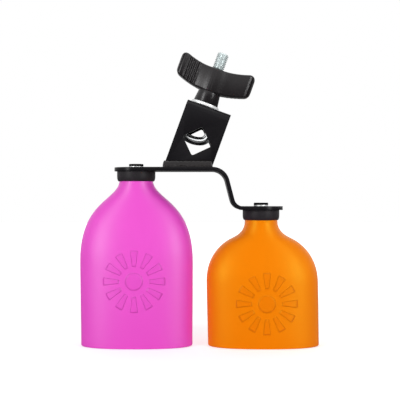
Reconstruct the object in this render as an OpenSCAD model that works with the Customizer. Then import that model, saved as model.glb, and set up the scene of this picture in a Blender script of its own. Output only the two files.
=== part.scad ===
// Pair of flattened, bottle-shaped bells hung from a stepped flat strap.
// A tilted clamp on the strap holds a rod with an eye bolt and a wing nut.
// X runs from the large bell to the small one, Y from front to back, Z up.
// The origin lies on the standing plane, below the middle of the whole.

/* [Bells] */
// Distance between the axes of the two necks
bell_spacing = 84.8; // [82:0.1:110]
// Outer depth of both mouths, front to back
mouth_depth = 35.4; // [30:0.1:50]
// Roundness of the mouth, where two is an ellipse and more is squarer
mouth_squareness = 2.3; // [2:0.05:3]
// Thickness of the moulded wall
bell_wall = 3; // [2:0.1:4]
// Rounding of the mouth rim
rim_round = 0.9; // [0.3:0.1:0.9]
// Height of the large bell from mouth to neck top
large_h = 116; // [96:0.5:150]
// Widest width of the large bell
large_belly_w = 76.5; // [66:0.5:80]
// Width of the large bell at its mouth
large_mouth_w = 75.5; // [66:0.5:80]
// Depth of the large bell's widest place below its neck top
large_belly_drop = 58.8; // [50:0.2:66]
// Depth below the neck top at which the large shoulder turns from hollow to round
large_turn_drop = 17.1; // [15:0.1:22]
// Width of the large shoulder at that turn
large_turn_w = 41.5; // [34:0.1:48]
// Slope of the large shoulder at that turn, from plumb
large_turn_angle = 49; // [40:0.5:60]
// Outer diameter of the large neck
large_neck_d = 22.1; // [20:0.1:24]
// Straight part of the large neck below its top
large_neck_straight = 0.9; // [0.6:0.1:3]
// Sideways drift of the large mouth from under its neck
large_drift = 0.5; // [0:0.1:2]
// Height of the strap's step, by which the small bell is the shorter one
step_h = 26.2; // [22:0.1:32]
// Widest width of the small bell
small_belly_w = 75.6; // [66:0.1:80]
// Width of the small bell at its mouth
small_mouth_w = 75.2; // [66:0.1:80]
// Depth of the small bell's widest place below its neck top
small_belly_drop = 46.5; // [40:0.1:52]
// Depth below the neck top at which the small shoulder turns from hollow to round
small_turn_drop = 16.8; // [14:0.1:20]
// Width of the small shoulder at that turn
small_turn_w = 39.1; // [34:0.1:46]
// Slope of the small shoulder at that turn, from plumb
small_turn_angle = 65; // [45:0.5:68]
// Outer diameter of the small neck
small_neck_d = 21.8; // [20:0.1:24]
// Straight part of the small neck below its top
small_neck_straight = 3.2; // [0.6:0.1:4]
// Sideways drift of the small mouth from under its neck
small_drift = 1.6; // [0:0.1:3]

/* [Strap] */
// Margin of the strap outside each weld bead
strap_margin = 0.2; // [0.1:0.1:3]
// Thickness of the flat strap
strap_t = 2.5; // [2:0.1:4]
// Slope of the step between the two runs, from plumb
step_angle = 14.7; // [5:0.1:30]
// Distance from the large bell's axis to the middle of the step
step_x = 63; // [60:0.1:64]
// Outer radius of the upper bend
upper_bend_r = 11.5; // [6:0.5:12]
// Outer radius of the lower bend
lower_bend_r = 8.5; // [6:0.5:9]

/* [Neck caps] */
// Outer diameter of the cap on the large neck
large_cap_d = 26; // [25.6:0.1:28]
// Outer diameter of the cap on the small neck
small_cap_d = 24.9; // [24.7:0.1:28]
// Height of a cap
cap_h = 6.9; // [5:0.1:8]
// Thickness of a cap's top, between neck and strap
cap_top_t = 2; // [1.5:0.1:3]
// Height of the cap's lower edge that draws in to the neck
cap_draw_h = 3.4; // [1:0.1:4]

/* [Neck screws] */
// Thread diameter of the neck screws
screw_d = 5; // [4:0.1:5]
// Diameter of a screw's low domed head
screw_head_d = 9.8; // [8.5:0.1:12]
// Height of a screw's head
screw_head_h = 1.5; // [1.2:0.1:3]
// Width across the flats of the drive recess
screw_drive = 3; // [2.5:0.1:4]
// Thickness of the zinc washer under the head
screw_washer_t = 0.6; // [0.4:0.1:1.5]
// Outer diameter of the wide washer inside the neck
inner_washer_d = 15; // [12:0.5:15]
// Thickness of the wide washer inside the neck
inner_washer_t = 1.2; // [1:0.1:2]
// Width across the flats of the lock nut
lock_nut_flats = 8; // [7:0.1:9]
// Height of the lock nut
lock_nut_h = 5; // [4:0.1:6]

/* [Clamp bracket] */
// Lean of the clamp towards the small bell
clamp_tilt = 20; // [0:1:22]
// Distance from the large bell's axis to the foot of the clamp
clamp_x = 35.1; // [32:0.1:36]
// Width of the folded bracket
bracket_w = 30.7; // [30:0.1:32]
// Depth of the folded bracket, front to back
bracket_depth = 23; // [22:0.1:25]
// Thickness of the bracket's steel
bracket_t = 2.5; // [2:0.1:3]
// Height of the bracket along its own axis
bracket_h = 42.9; // [42.6:0.1:50]
// Outer radius of the bracket's two folds
bracket_bend_r = 5; // [3.5:0.1:7]
// Side of the square rod hole that stands on its corner
rod_hole = 14.5; // [13:0.1:15.5]
// Rounding of the rod hole's corners
rod_hole_round = 1.3; // [1:0.1:3]
// Height of the rod hole's middle along the bracket's axis
rod_hole_z = 18.4; // [18:0.1:19]
// Height of the weld beads on the bracket's legs
weld_h = 4.5; // [2:0.1:5]
// Width of the weld beads on the strap
weld_w = 3.05; // [2:0.05:4]

/* [Eye bolt] */
// Thread diameter of the eye bolt
bolt_d = 8; // [7:0.1:8.5]
// Thread pitch of the eye bolt
bolt_pitch = 1.25; // [1:0.05:1.5]
// Thickness of the eye's round section
eye_wire_d = 5.8; // [5:0.1:6.2]
// Outer width of the eye
eye_w = 24.4; // [23:0.1:25]
// Half of the turn that the eye's flattened bottom makes
eye_turn = 23; // [15:1:30]
// Outer radius of the eye's lower corners
eye_corner_r = 8.5; // [7:0.1:9]
// Length of the eye's straight sides
eye_side_h = 2.8; // [1:0.1:3]
// How far the bolt stands from the bracket's axis, towards the large bell
bolt_offset = 3.6; // [3:0.1:4]
// How far the bolt can shift along the slot
slot_travel = 4.5; // [2:0.1:4.5]
// Clearance between the bolt and the slot or washer
bolt_clearance = 0.3; // [0.2:0.05:0.5]
// Gap between the raised eye and the fold above it
eye_gap = 0.3; // [0.2:0.05:1]
// Length of thread that stands above the wing nut
thread_above = 11.9; // [10.5:0.1:16]

/* [Wing nut] */
// Outer diameter of the zinc washer on the bracket
clamp_washer_d = 19.5; // [19:0.1:22]
// Thickness of the zinc washer on the bracket
clamp_washer_t = 1.8; // [1.2:0.1:3]
// Lower diameter of the nut's hub
hub_d = 17.1; // [16:0.1:18]
// Upper diameter of the nut's hub, below the wings
hub_top_d = 15.2; // [14.5:0.1:16]
// Height of the hub below the wings
hub_h = 8; // [6:0.1:12]
// Full span of the two wings
wing_span = 52.6; // [46:0.2:56]
// Height of a wing
wing_h = 16.2; // [14.5:0.1:20]
// How far the tips rise above the middle
wing_rise = 5.6; // [2:0.1:8]
// Rounding of a wing's upper tip corner
wing_round = 3.7; // [2:0.1:7]
// Rounding of a wing's lower tip corner
wing_low_round = 2.4; // [1.5:0.1:6]
// Depth of the nut's body at the hub, front to back
wing_hub_depth = 16.4; // [15.6:0.1:18]
// Width across the flats of the threaded insert
insert_flats = 11; // [10.2:0.1:12]
// Height of the threaded insert
insert_h = 12; // [8:0.1:16]
// Running clearance between thread and insert
thread_clearance = 0.05; // [0.02:0.01:0.1]

/* [Hidden] */
$fn = 48;
// Overrun of every cut past the face that it opens
over = 1;
// Points round a bell
bell_sides = 56;
// Steps along the shoulder's two curves and down its body
hollow_steps = 7;
round_steps = 9;
body_steps = 4;
// Handle lengths of the shoulder's curves, as shares of the height of each
large_hollow_shares = [0.44, 0.65];
large_round_shares = [0.27, 0.58];
small_hollow_shares = [0.43, 0.59];
small_round_shares = [0.36, 0.515];
// Clearance round a screw's shank and round a neck in its cap
screw_clearance = 0.2;
neck_clearance = 0.1;
// Share of a cap's wall by which its lower edge draws in
cap_draw_share = 0.8;
// Chamfer on the neck's top edge
neck_edge = 0.5;
bell_hole_r = screw_d / 2 + screw_clearance + 0.1 * screw_clearance;
// The strap is as wide as the bracket with its weld beads and a margin
strap_w = bracket_depth + 2 * (weld_w + strap_margin);
// The small bell's height, and the levels of the widest places and turns
small_h = large_h - step_h;
large_belly_z = large_h - large_belly_drop;
large_turn_z = large_h - large_turn_drop;
small_belly_z = small_h - small_belly_drop;
small_turn_z = small_h - small_turn_drop;
// The two levels of the strap's underside
upper_z = large_h + cap_top_t;
lower_z = small_h + cap_top_t;

// Colours of the finishes
pink = "#EE60D6";
orange = "#F48406";
black_steel = "#2B292B";
black_rubber = "#333033";
black_nylon = "#242226";
zinc = "#C9CDD1";
white_nylon = "#E8E8E4";

// Point at share t of a cubic curve with end points a, d and handles b, c
function curve_point(a, b, c, d, t) =
    pow(1 - t, 3) * a + 3 * pow(1 - t, 2) * t * b + 3 * (1 - t) * t * t * c + t * t * t * d;

// Half outline [half width, height] of a bell from its rim up to the neck's top
function bell_outline(h, belly_w, mouth_w, belly_z, turn_z, turn_w, angle, neck_d, straight,
        hollow_shares, round_shares) =
    let (
        flare_z = h - straight,
        hollow_h = flare_z - turn_z,
        round_h = turn_z - belly_z,
        turn = [turn_w / 2, turn_z],
        slope = [sin(angle), -cos(angle)],
        top = [neck_d / 2, flare_z],
        belly = [belly_w / 2, belly_z],
        rise = belly_z - rim_round
    )
    concat(
        [for (a = [0, 45, 90])
            [mouth_w / 2 - rim_round + rim_round * sin(a), rim_round - rim_round * cos(a)]],
        [for (i = [1 : body_steps])
            let (s = i / body_steps)
            [mouth_w / 2 + (belly_w - mouth_w) / 2 * (1 - cos(180 * s)) / 2, rim_round + rise * s]],
        [for (i = [1 : round_steps])
            curve_point(belly, belly + [0, round_shares[1] * round_h],
                turn + round_shares[0] * round_h * slope, turn, i / round_steps)],
        [for (i = [1 : hollow_steps])
            curve_point(turn, turn - hollow_shares[1] * hollow_h * slope,
                top - [0, hollow_shares[0] * hollow_h], top, i / hollow_steps)]
    );

// The same outline moved inwards by the wall, from the neck's inside down to the rim
function inner_outline(line, h) =
    let (
        last = len(line) - 1,
        shifted = [for (i = [3 : last])
            let (
                step = line[min(i + 1, last)] - line[i - 1],
                normal = [step[1], -step[0]] / norm(step)
            )
            line[i] - bell_wall * normal],
        kept = [for (p = shifted) if (p[1] < h - bell_wall - neck_edge) p],
        mouth = line[2][0] - bell_wall
    )
    concat(
        [[kept[len(kept) - 1][0], h - bell_wall]],
        [for (i = [len(kept) - 1 : -1 : 0]) kept[i]],
        [for (a = [90, 45, 0])
            [mouth + rim_round - rim_round * sin(a), rim_round - rim_round * cos(a)]]
    );

// Closed run of points round the whole wall: outside, top, screw hole, inside
function bell_wall_line(line, h) =
    let (neck = line[len(line) - 1][0])
    concat(
        line,
        [[neck, h - neck_edge], [neck - neck_edge, h], [bell_hole_r, h], [bell_hole_r, h - bell_wall]],
        inner_outline(line, h)
    );

// How far a height lies below the neck, eased from 0 at the flare to 1 at the belly
function below(z, flare_z, belly_z) =
    let (s = min(1, max(0, (flare_z - z) / (flare_z - belly_z)))) (1 - cos(180 * s)) / 2;

// One ring of the bell at a point of its wall line
function bell_ring(p, neck_d, flare_z, belly_z, drift, inside) =
    let (
        s = below(p[1], flare_z, belly_z),
        wall = inside ? bell_wall : 0,
        full = neck_d / 2 + (mouth_depth / 2 - neck_d / 2) * s,
        depth = min(p[0], full - wall),
        power = 2 / (2 + (mouth_squareness - 2) * s),
        shift = drift * max(0, (flare_z - p[1]) / flare_z)
    )
    [for (k = [0 : bell_sides - 1])
        let (a = 360 * k / bell_sides)
        [
            shift + p[0] * sign(cos(a)) * pow(abs(cos(a)), power),
            depth * sign(sin(a)) * pow(abs(sin(a)), power),
            p[1]
        ]];

module bell(line, h, neck_d, straight, belly_z, drift) {
    wall_line = bell_wall_line(line, h);
    outside = len(line) + 2;
    rings = len(wall_line);
    points = [for (i = [0 : rings - 1])
        each bell_ring(wall_line[i], neck_d, h - straight, belly_z, drift, i > outside)];
    faces = [for (i = [0 : rings - 1], k = [0 : bell_sides - 1])
        let (
            up = (i + 1) % rings,
            next = (k + 1) % bell_sides,
            a = i * bell_sides + k,
            b = i * bell_sides + next,
            c = up * bell_sides + next,
            d = up * bell_sides + k
        )
        each [[a, c, b], [a, d, c]]];
    polyhedron(points, faces);
}

large_outline = bell_outline(large_h, large_belly_w, large_mouth_w, large_belly_z, large_turn_z,
    large_turn_w, large_turn_angle, large_neck_d, large_neck_straight,
    large_hollow_shares, large_round_shares);
small_outline = bell_outline(small_h, small_belly_w, small_mouth_w, small_belly_z, small_turn_z,
    small_turn_w, small_turn_angle, small_neck_d, small_neck_straight,
    small_hollow_shares, small_round_shares);

// Reach of the whole to either side, which sets the necks about the middle
left_reach = max([for (p = large_outline)
    p[0] - large_drift * max(0, (large_h - large_neck_straight - p[1]) / (large_h - large_neck_straight))]);
right_reach = max([for (p = small_outline)
    p[0] + small_drift * max(0, (small_h - small_neck_straight - p[1]) / (small_h - small_neck_straight))]);
large_x = (left_reach - right_reach - bell_spacing) / 2;
small_x = large_x + bell_spacing;

module large_bell() {
    color(pink) translate([large_x, 0, 0])
        bell(large_outline, large_h, large_neck_d, large_neck_straight, large_belly_z, large_drift);
}

module small_bell() {
    color(orange) translate([small_x, 0, 0])
        bell(small_outline, small_h, small_neck_d, small_neck_straight, small_belly_z, small_drift);
}

// Places of the strap's step, all on its middle line
upper_mid_z = upper_z + strap_t / 2;
lower_mid_z = lower_z + strap_t / 2;
upper_r = upper_bend_r - strap_t / 2;
lower_r = lower_bend_r - strap_t / 2;
step_mid = [large_x + step_x, (upper_mid_z + lower_mid_z) / 2];
upper_c_z = upper_mid_z - upper_r;
lower_c_z = lower_mid_z + lower_r;
upper_c = [step_mid[0] - (upper_r + (upper_c_z - step_mid[1]) * sin(step_angle)) / cos(step_angle),
    upper_c_z];
lower_c = [step_mid[0] + (lower_r - (lower_c_z - step_mid[1]) * sin(step_angle)) / cos(step_angle),
    lower_c_z];
bend_steps = 12;

// Points of one bend in the XZ plane, from one angle to another
function bend_line(centre, r, from, to) =
    [for (i = [0 : bend_steps])
        let (a = from + (to - from) * i / bend_steps)
        centre + r * [cos(a), sin(a)]];

// Side view of the strap: along its top face, then back along its underside
strap_side = concat(
    [[large_x, upper_z + strap_t]],
    bend_line(upper_c, upper_bend_r, 90, step_angle),
    bend_line(lower_c, lower_bend_r - strap_t, 180 + step_angle, 270),
    [[small_x, lower_z + strap_t], [small_x, lower_z]],
    bend_line(lower_c, lower_bend_r, 270, 180 + step_angle),
    bend_line(upper_c, upper_bend_r - strap_t, step_angle, 90),
    [[large_x, upper_z]]
);

module mount_strap() {
    ends = [[large_x, upper_z], [small_x, lower_z]];
    color(black_steel) difference() {
        union() {
            rotate([90, 0, 0]) linear_extrude(strap_w, center = true) polygon(strap_side);
            for (end = ends)
                translate([end[0], 0, end[1]]) cylinder(d = strap_w, h = strap_t);
        }
        for (end = ends)
            translate([end[0], 0, end[1] - over])
                cylinder(r = screw_d / 2 + screw_clearance, h = strap_t + 2 * over);
    }
}

// A cap fits over the neck's top, clears its flare and fills the space up to the strap
module neck_cap(x, neck_top, cap_d, line) {
    edge_z = neck_top + cap_top_t - cap_h;
    inner_r = lookup(edge_z, [for (p = line) [p[1], p[0]]]) + neck_clearance;
    cap_draw = (cap_d / 2 - inner_r) * cap_draw_share;
    draw_steps = 4;
    color(black_rubber) translate([x, 0, neck_top + cap_top_t])
        rotate_extrude()
            polygon(concat(
                [[screw_d / 2 + screw_clearance, 0], [cap_d / 2, 0]],
                [for (i = [0 : draw_steps])
                    let (a = 90 * i / draw_steps)
                    [cap_d / 2 - cap_draw * (1 - cos(a)), -cap_h + cap_draw_h * (1 - sin(a))]],
                [[inner_r, -cap_h], [inner_r, -cap_top_t], [screw_d / 2 + screw_clearance, -cap_top_t]]
            ));
}

module large_cap() {
    neck_cap(large_x, large_h, large_cap_d, large_outline);
}

module small_cap() {
    neck_cap(small_x, small_h, small_cap_d, small_outline);
}

// Ring with a plain bore, lying on height z
module flat_ring(x, z, d, t, hole_d) {
    translate([x, 0, z]) difference() {
        cylinder(d = d, h = t);
        translate([0, 0, -over]) cylinder(d = hole_d, h = t + 2 * over);
    }
}

// The screw reaches past its lock nut by this much
screw_tip = screw_d / 4;
screw_hole_d = screw_d + 2 * screw_clearance;
// Thread of a lock nut and the band of its nylon ring
nut_bore_d = screw_d + 2 * thread_clearance;
nut_ring_h = lock_nut_h / 4;
nut_ring_d = lock_nut_flats - lock_nut_flats / 6;

module neck_screw(x, strap_z) {
    head_z = strap_z + strap_t + screw_washer_t;
    shank = head_z - strap_z + cap_top_t + bell_wall + inner_washer_t + lock_nut_h + screw_tip;
    dome_steps = 5;
    color(black_steel) translate([x, 0, head_z]) difference() {
        union() {
            rotate_extrude()
                polygon(concat([[0, 0]], [for (i = [0 : dome_steps])
                    let (a = 90 * i / dome_steps)
                    [screw_head_d / 2 * pow(cos(a), 0.5), screw_head_h * sin(a)]]));
            translate([0, 0, -shank]) cylinder(d = screw_d, h = shank);
        }
        translate([0, 0, screw_head_h / 3])
            cylinder(d = screw_drive / cos(30), h = screw_head_h, $fn = 6);
    }
}

module screw_washer(x, strap_z) {
    color(zinc) flat_ring(x, strap_z + strap_t, screw_head_d, screw_washer_t, screw_hole_d);
}

module inner_washer(x, neck_top) {
    color(zinc) flat_ring(x, neck_top - bell_wall - inner_washer_t, inner_washer_d, inner_washer_t,
        screw_hole_d);
}

module lock_nut(x, neck_top) {
    nut_z = neck_top - bell_wall - inner_washer_t - lock_nut_h;
    color(zinc) translate([x, 0, nut_z]) difference() {
        union() {
            translate([0, 0, nut_ring_h])
                cylinder(d = lock_nut_flats / cos(30), h = lock_nut_h - nut_ring_h, $fn = 6);
            cylinder(d = lock_nut_flats, h = lock_nut_h);
        }
        translate([0, 0, -over]) cylinder(d = nut_bore_d, h = lock_nut_h + 2 * over);
        translate([0, 0, -over]) cylinder(d = nut_ring_d, h = nut_ring_h + over);
    }
}

module nut_ring(x, neck_top) {
    ring_z = neck_top - bell_wall - inner_washer_t - lock_nut_h;
    color(white_nylon) flat_ring(x, ring_z, nut_ring_d, nut_ring_h, nut_bore_d);
}

module large_screw() {
    neck_screw(large_x, upper_z);
}

module small_screw() {
    neck_screw(small_x, lower_z);
}

module large_screw_washer() {
    screw_washer(large_x, upper_z);
}

module small_screw_washer() {
    screw_washer(small_x, lower_z);
}

module large_inner_washer() {
    inner_washer(large_x, large_h);
}

module small_inner_washer() {
    inner_washer(small_x, small_h);
}

module large_lock_nut() {
    lock_nut(large_x, large_h);
}

module small_lock_nut() {
    lock_nut(small_x, small_h);
}

module large_nut_ring() {
    nut_ring(large_x, large_h);
}

module small_nut_ring() {
    nut_ring(small_x, small_h);
}

// The clamp's own frame starts at its foot on the strap and leans with it
foot_x = large_x + clamp_x;
foot_z = upper_z + strap_t;

module clamp_frame() {
    translate([foot_x, 0, foot_z]) rotate([0, clamp_tilt, 0]) children();
}

// Everything above the strap's top face
module above_strap() {
    reach = 2 * bracket_h;
    intersection() {
        children();
        translate([foot_x - reach, -reach, foot_z]) cube([2 * reach, 2 * reach, 2 * reach]);
    }
}

// One fold of the bracket, as a quarter pipe along the bracket's width
module bracket_fold(side) {
    fold_y = bracket_depth / 2 - bracket_bend_r;
    translate([0, side * fold_y, bracket_h - bracket_bend_r]) intersection() {
        rotate([0, 90, 0]) difference() {
            cylinder(r = bracket_bend_r, h = bracket_w, center = true);
            cylinder(r = bracket_bend_r - bracket_t, h = bracket_w + 2 * over, center = true);
        }
        translate([-bracket_w, side > 0 ? 0 : -bracket_bend_r - over, 0])
            cube([2 * bracket_w, bracket_bend_r + over, bracket_bend_r + over]);
    }
}

// Square hole on its corner with rounded corners, through both legs
module rod_hole_cut() {
    inset = rod_hole / 2 - rod_hole_round;
    depth = bracket_depth + 2 * over;
    rotate([90, 0, 0]) rotate([0, 0, 45]) {
        cube([rod_hole, 2 * inset, depth], center = true);
        cube([2 * inset, rod_hole, depth], center = true);
        for (sx = [-1, 1], sy = [-1, 1])
            translate([sx * inset, sy * inset, 0])
                cylinder(r = rod_hole_round, h = depth, center = true);
    }
}

slot_w = bolt_d + 2 * bolt_clearance;

module bracket_slot() {
    translate([-bolt_offset, 0, bracket_h - bracket_t - over]) {
        for (shift = [0, slot_travel])
            translate([shift, 0, 0]) cylinder(d = slot_w, h = bracket_t + 2 * over);
        translate([0, -slot_w / 2, 0]) cube([slot_travel, slot_w, bracket_t + 2 * over]);
    }
}

module clamp_bracket() {
    // The legs start below the foot, where the strap's face then cuts them level
    sunk = bracket_w * tan(clamp_tilt);
    leg_h = bracket_h - bracket_bend_r + sunk;
    top_depth = bracket_depth - 2 * bracket_bend_r;
    color(black_steel) above_strap() clamp_frame() difference() {
        union() {
            for (side = [-1, 1]) {
                translate([-bracket_w / 2, side * (bracket_depth - bracket_t) / 2 - bracket_t / 2, -sunk])
                    cube([bracket_w, bracket_t, leg_h]);
                bracket_fold(side);
            }
            translate([-bracket_w / 2, -top_depth / 2, bracket_h - bracket_t])
                cube([bracket_w, top_depth, bracket_t]);
        }
        translate([0, 0, rod_hole_z]) rod_hole_cut();
        bracket_slot();
    }
}

// A bead swells out of the corner between a leg and the strap
module weld_beads() {
    bead_l = bracket_w / cos(clamp_tilt);
    bead_steps = 6;
    color(black_steel) for (side = [-1, 1])
        translate([foot_x, side * bracket_depth / 2, foot_z])
            rotate([90, 0, 90])
                linear_extrude(bead_l, center = true)
                    polygon(concat([[0, 0]], [for (i = [0 : bead_steps])
                        let (a = 90 * i / bead_steps)
                        [side * weld_w * pow(cos(a), 0.8), weld_h * pow(sin(a), 0.8)]]));
}

// The bolt, washer and nut stand on the bracket about the bolt's axis
module bolt_frame() {
    clamp_frame() translate([-bolt_offset, 0, bracket_h]) children();
}

module clamp_washer() {
    color(zinc) bolt_frame() flat_ring(0, 0, clamp_washer_d, clamp_washer_t, slot_w);
}

// The eye's middle line runs through these centres, measured up from its outer bottom
eye_r = eye_wire_d / 2;
eye_corner_x = eye_w / 2 - eye_corner_r;
eye_bottom_r = eye_corner_r + eye_corner_x / sin(eye_turn);
eye_corner_z = eye_bottom_r - (eye_bottom_r - eye_corner_r) * cos(eye_turn);
eye_h = eye_corner_z + eye_side_h + eye_w / 2;
eye_bottom_z = -bracket_t - eye_gap - eye_h;

// The bottom and the straight sides swell this little and reach into their neighbours
eye_seam = eye_wire_d / 200;
seam_turn = 1;

// Round bar bent about a centre in the eye's plane
module eye_arc(x, z, r, from, turn, bar_r) {
    translate([x, 0, z]) rotate([90, 0, 0]) rotate([0, 0, from])
        rotate_extrude(angle = turn)
            translate([r - eye_r, 0]) circle(r = bar_r);
}

thread_depth = 0.6 * bolt_pitch;
shank_top = clamp_washer_t + hub_h + wing_h + thread_above;
thread_turns = floor((shank_top - clamp_washer_t) / bolt_pitch);

// Shank with the outline of its thread, turned about the bolt's axis
module threaded_shank(from) {
    thread_from = shank_top - thread_turns * bolt_pitch;
    rotate_extrude()
        polygon(concat(
            [[0, from], [bolt_d / 2, from], [bolt_d / 2, thread_from]],
            [for (i = [0 : thread_turns - 1])
                let (z = thread_from + i * bolt_pitch)
                each [
                    [bolt_d / 2, z + bolt_pitch / 8],
                    [bolt_d / 2 - thread_depth, z + bolt_pitch / 2],
                    [bolt_d / 2, z + bolt_pitch - bolt_pitch / 8]
                ]],
            [[bolt_d / 2 - thread_depth, shank_top], [0, shank_top]]
        ));
}

module eye_bolt() {
    color(zinc) bolt_frame() {
        translate([0, 0, eye_bottom_z]) {
            eye_arc(0, eye_bottom_r, eye_bottom_r, 270 - eye_turn - seam_turn,
                2 * (eye_turn + seam_turn), eye_r + eye_seam);
            eye_arc(eye_corner_x, eye_corner_z, eye_corner_r, 270 + eye_turn, 90 - eye_turn, eye_r);
            eye_arc(-eye_corner_x, eye_corner_z, eye_corner_r, 180, 90 - eye_turn, eye_r);
            for (side = [-1, 1])
                translate([side * (eye_w / 2 - eye_r), 0, eye_corner_z - 4 * eye_seam])
                    cylinder(r = eye_r + eye_seam, h = eye_side_h + 8 * eye_seam);
            eye_arc(0, eye_corner_z + eye_side_h, eye_w / 2, 0, 180, eye_r);
        }
        threaded_shank(eye_bottom_z + eye_h - eye_wire_d);
    }
}

// Heights of the wings' lower and upper edges at a distance from the axis
wing_bend = wing_rise / pow(wing_span / 2, 2);
function wing_low(x) = hub_h + wing_bend * x * x;
function wing_high(x) = wing_low(x) + wing_h;

// Right half of the wings' front outline, from the axis along the bottom, round the tip and back
high_tip_x = wing_span / 2 - wing_round;
low_tip_x = wing_span / 2 - wing_low_round;
high_slope = atan(2 * wing_bend * high_tip_x);
low_slope = atan(2 * wing_bend * low_tip_x);
high_x = high_tip_x - wing_round * sin(high_slope);
low_x = low_tip_x + wing_low_round * sin(low_slope);
wing_steps = 6;
tip_steps = 6;
wing_half = concat(
    [for (i = [0 : wing_steps]) [low_x * i / wing_steps, wing_low(low_x * i / wing_steps)]],
    [for (i = [1 : tip_steps])
        let (a = -90 + low_slope + (90 - low_slope) * i / tip_steps)
        [low_tip_x + wing_low_round * cos(a), wing_low(low_x) + wing_low_round * (cos(low_slope) + sin(a))]],
    [for (i = [0 : tip_steps])
        let (a = (90 + high_slope) * i / tip_steps)
        [high_tip_x + wing_round * cos(a), wing_high(high_x) + wing_round * (sin(a) - cos(high_slope))]],
    [for (i = [wing_steps - 1 : -1 : 0]) [high_x * i / wing_steps, wing_high(high_x * i / wing_steps)]]
);

// Plan of one smooth face and one grip face, from hub to tip, as shares of half span and half depth
smooth_face_shares = [[0.1, 0.99], [0.2, 0.92], [0.3, 0.84], [0.42, 0.8], [0.6, 0.79], [0.8, 0.78],
    [0.9, 0.74], [0.96, 0.6], [1, 0.3]];
grip_face_shares = [[0.1, 0.96], [0.2, 0.83], [0.3, 0.67], [0.42, 0.5], [0.52, 0.42], [0.64, 0.4],
    [0.78, 0.42], [0.88, 0.52], [0.95, 0.5], [0.985, 0.36], [1, 0.14]];
// Places of the grip ribs along the half span, and their radius as a share of it
rib_shares = [0.475, 0.575, 0.675, 0.775];
rib_r_share = 0.034;

function plan_point(share, mirror_x, mirror_y) =
    [mirror_x * share[0] * wing_span / 2, mirror_y * share[1] * wing_hub_depth / 2];

// Seen from above, turning the plan half a turn about the axis leaves it the same
wing_plan = concat(
    [[0, -wing_hub_depth / 2]],
    [for (s = smooth_face_shares) plan_point(s, 1, -1)],
    [for (i = [len(grip_face_shares) - 1 : -1 : 0]) plan_point(grip_face_shares[i], 1, 1)],
    [[0, wing_hub_depth / 2]],
    [for (s = smooth_face_shares) plan_point(s, -1, 1)],
    [for (i = [len(grip_face_shares) - 1 : -1 : 0]) plan_point(grip_face_shares[i], -1, -1)]
);

module wings() {
    top = wing_high(wing_span / 2) + over;
    rib_y = grip_face_shares[5][1] * wing_hub_depth / 2;
    intersection() {
        rotate([90, 0, 0])
            linear_extrude(2 * wing_hub_depth, center = true)
                polygon(concat(wing_half, [for (i = [len(wing_half) - 2 : -1 : 1])
                    [-wing_half[i][0], wing_half[i][1]]]));
        union() {
            linear_extrude(top) polygon(wing_plan);
            for (turn = [0, 180], share = rib_shares)
                rotate([0, 0, turn])
                    translate([share * wing_span / 2, rib_y, 0])
                        cylinder(r = rib_r_share * wing_span / 2, h = top, $fn = 24);
        }
    }
}

insert_r = insert_flats / 2 / cos(30);

module wing_nut() {
    color(black_nylon) bolt_frame() translate([0, 0, clamp_washer_t]) difference() {
        union() {
            cylinder(d1 = hub_d, d2 = hub_top_d, h = hub_h);
            translate([0, 0, hub_h]) cylinder(d = hub_top_d, h = wing_h / 2);
            wings();
        }
        translate([0, 0, -over])
            cylinder(d = bolt_d + 2 * bolt_clearance, h = hub_h + wing_h + 2 * over);
        translate([0, 0, -over]) cylinder(r = insert_r, h = insert_h + over, $fn = 6);
    }
}

module nut_insert() {
    color(zinc) bolt_frame() translate([0, 0, clamp_washer_t]) difference() {
        cylinder(r = insert_r, h = insert_h, $fn = 6);
        translate([0, 0, -over])
            cylinder(r = bolt_d / 2 + thread_clearance, h = insert_h + 2 * over);
    }
}

mount_strap();
clamp_bracket();
weld_beads();
eye_bolt();
clamp_washer();
wing_nut();
nut_insert();
large_bell();
small_bell();
large_cap();
small_cap();
large_screw();
small_screw();
large_screw_washer();
small_screw_washer();
large_inner_washer();
small_inner_washer();
large_lock_nut();
small_lock_nut();
large_nut_ring();
small_nut_ring();
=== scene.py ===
# %% [markdown]
# # A pair of moulded agogo bells on a rod clamp
#
# This lesson dresses a measured model of two flattened bells. They hang from a stepped steel
# strap, and a tilted clamp with an eye bolt and a wing nut holds the strap on a rod.
# New pieces are drawn in millimetres, where sizes are easy to read, and one value turns them
# into the metres of the scene.

# %% Load the measured frame
import bpy
import bmesh
import math
from mathutils import Matrix, Vector


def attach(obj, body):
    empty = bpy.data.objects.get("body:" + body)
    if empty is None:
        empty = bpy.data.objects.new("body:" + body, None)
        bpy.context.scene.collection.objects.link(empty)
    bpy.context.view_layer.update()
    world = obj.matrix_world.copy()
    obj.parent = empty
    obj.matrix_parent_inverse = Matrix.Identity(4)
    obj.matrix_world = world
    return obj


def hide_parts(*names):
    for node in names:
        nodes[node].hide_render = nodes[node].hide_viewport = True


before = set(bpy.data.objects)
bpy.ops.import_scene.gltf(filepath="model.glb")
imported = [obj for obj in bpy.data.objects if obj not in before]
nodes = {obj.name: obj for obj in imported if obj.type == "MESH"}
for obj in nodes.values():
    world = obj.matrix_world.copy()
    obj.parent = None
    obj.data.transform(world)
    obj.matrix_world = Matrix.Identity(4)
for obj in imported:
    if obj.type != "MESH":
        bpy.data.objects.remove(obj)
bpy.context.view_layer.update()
MM = 0.001
QUARTER = math.pi / 2

# %% [markdown]
# ## Colour and shader nodes
# A colour picked from a chart is display-coded, but light adds up only in linear values, so one
# function turns hex codes into linear colour. Another adds a shader node. What feeds a socket may
# be another socket, a node whose first output is meant, or a plain value. That way a material
# reads as a short list of named steps.

# %% Colour and node helpers


def linear(code):
    """The linear colour of a hex code, with full opacity."""
    parts = [int(code[i:i + 2], 16) / 255 for i in (1, 3, 5)]
    return tuple(c / 12.92 if c <= 0.04045 else ((c + 0.055) / 1.055) ** 2.4 for c in parts) + (1.0,)


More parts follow.
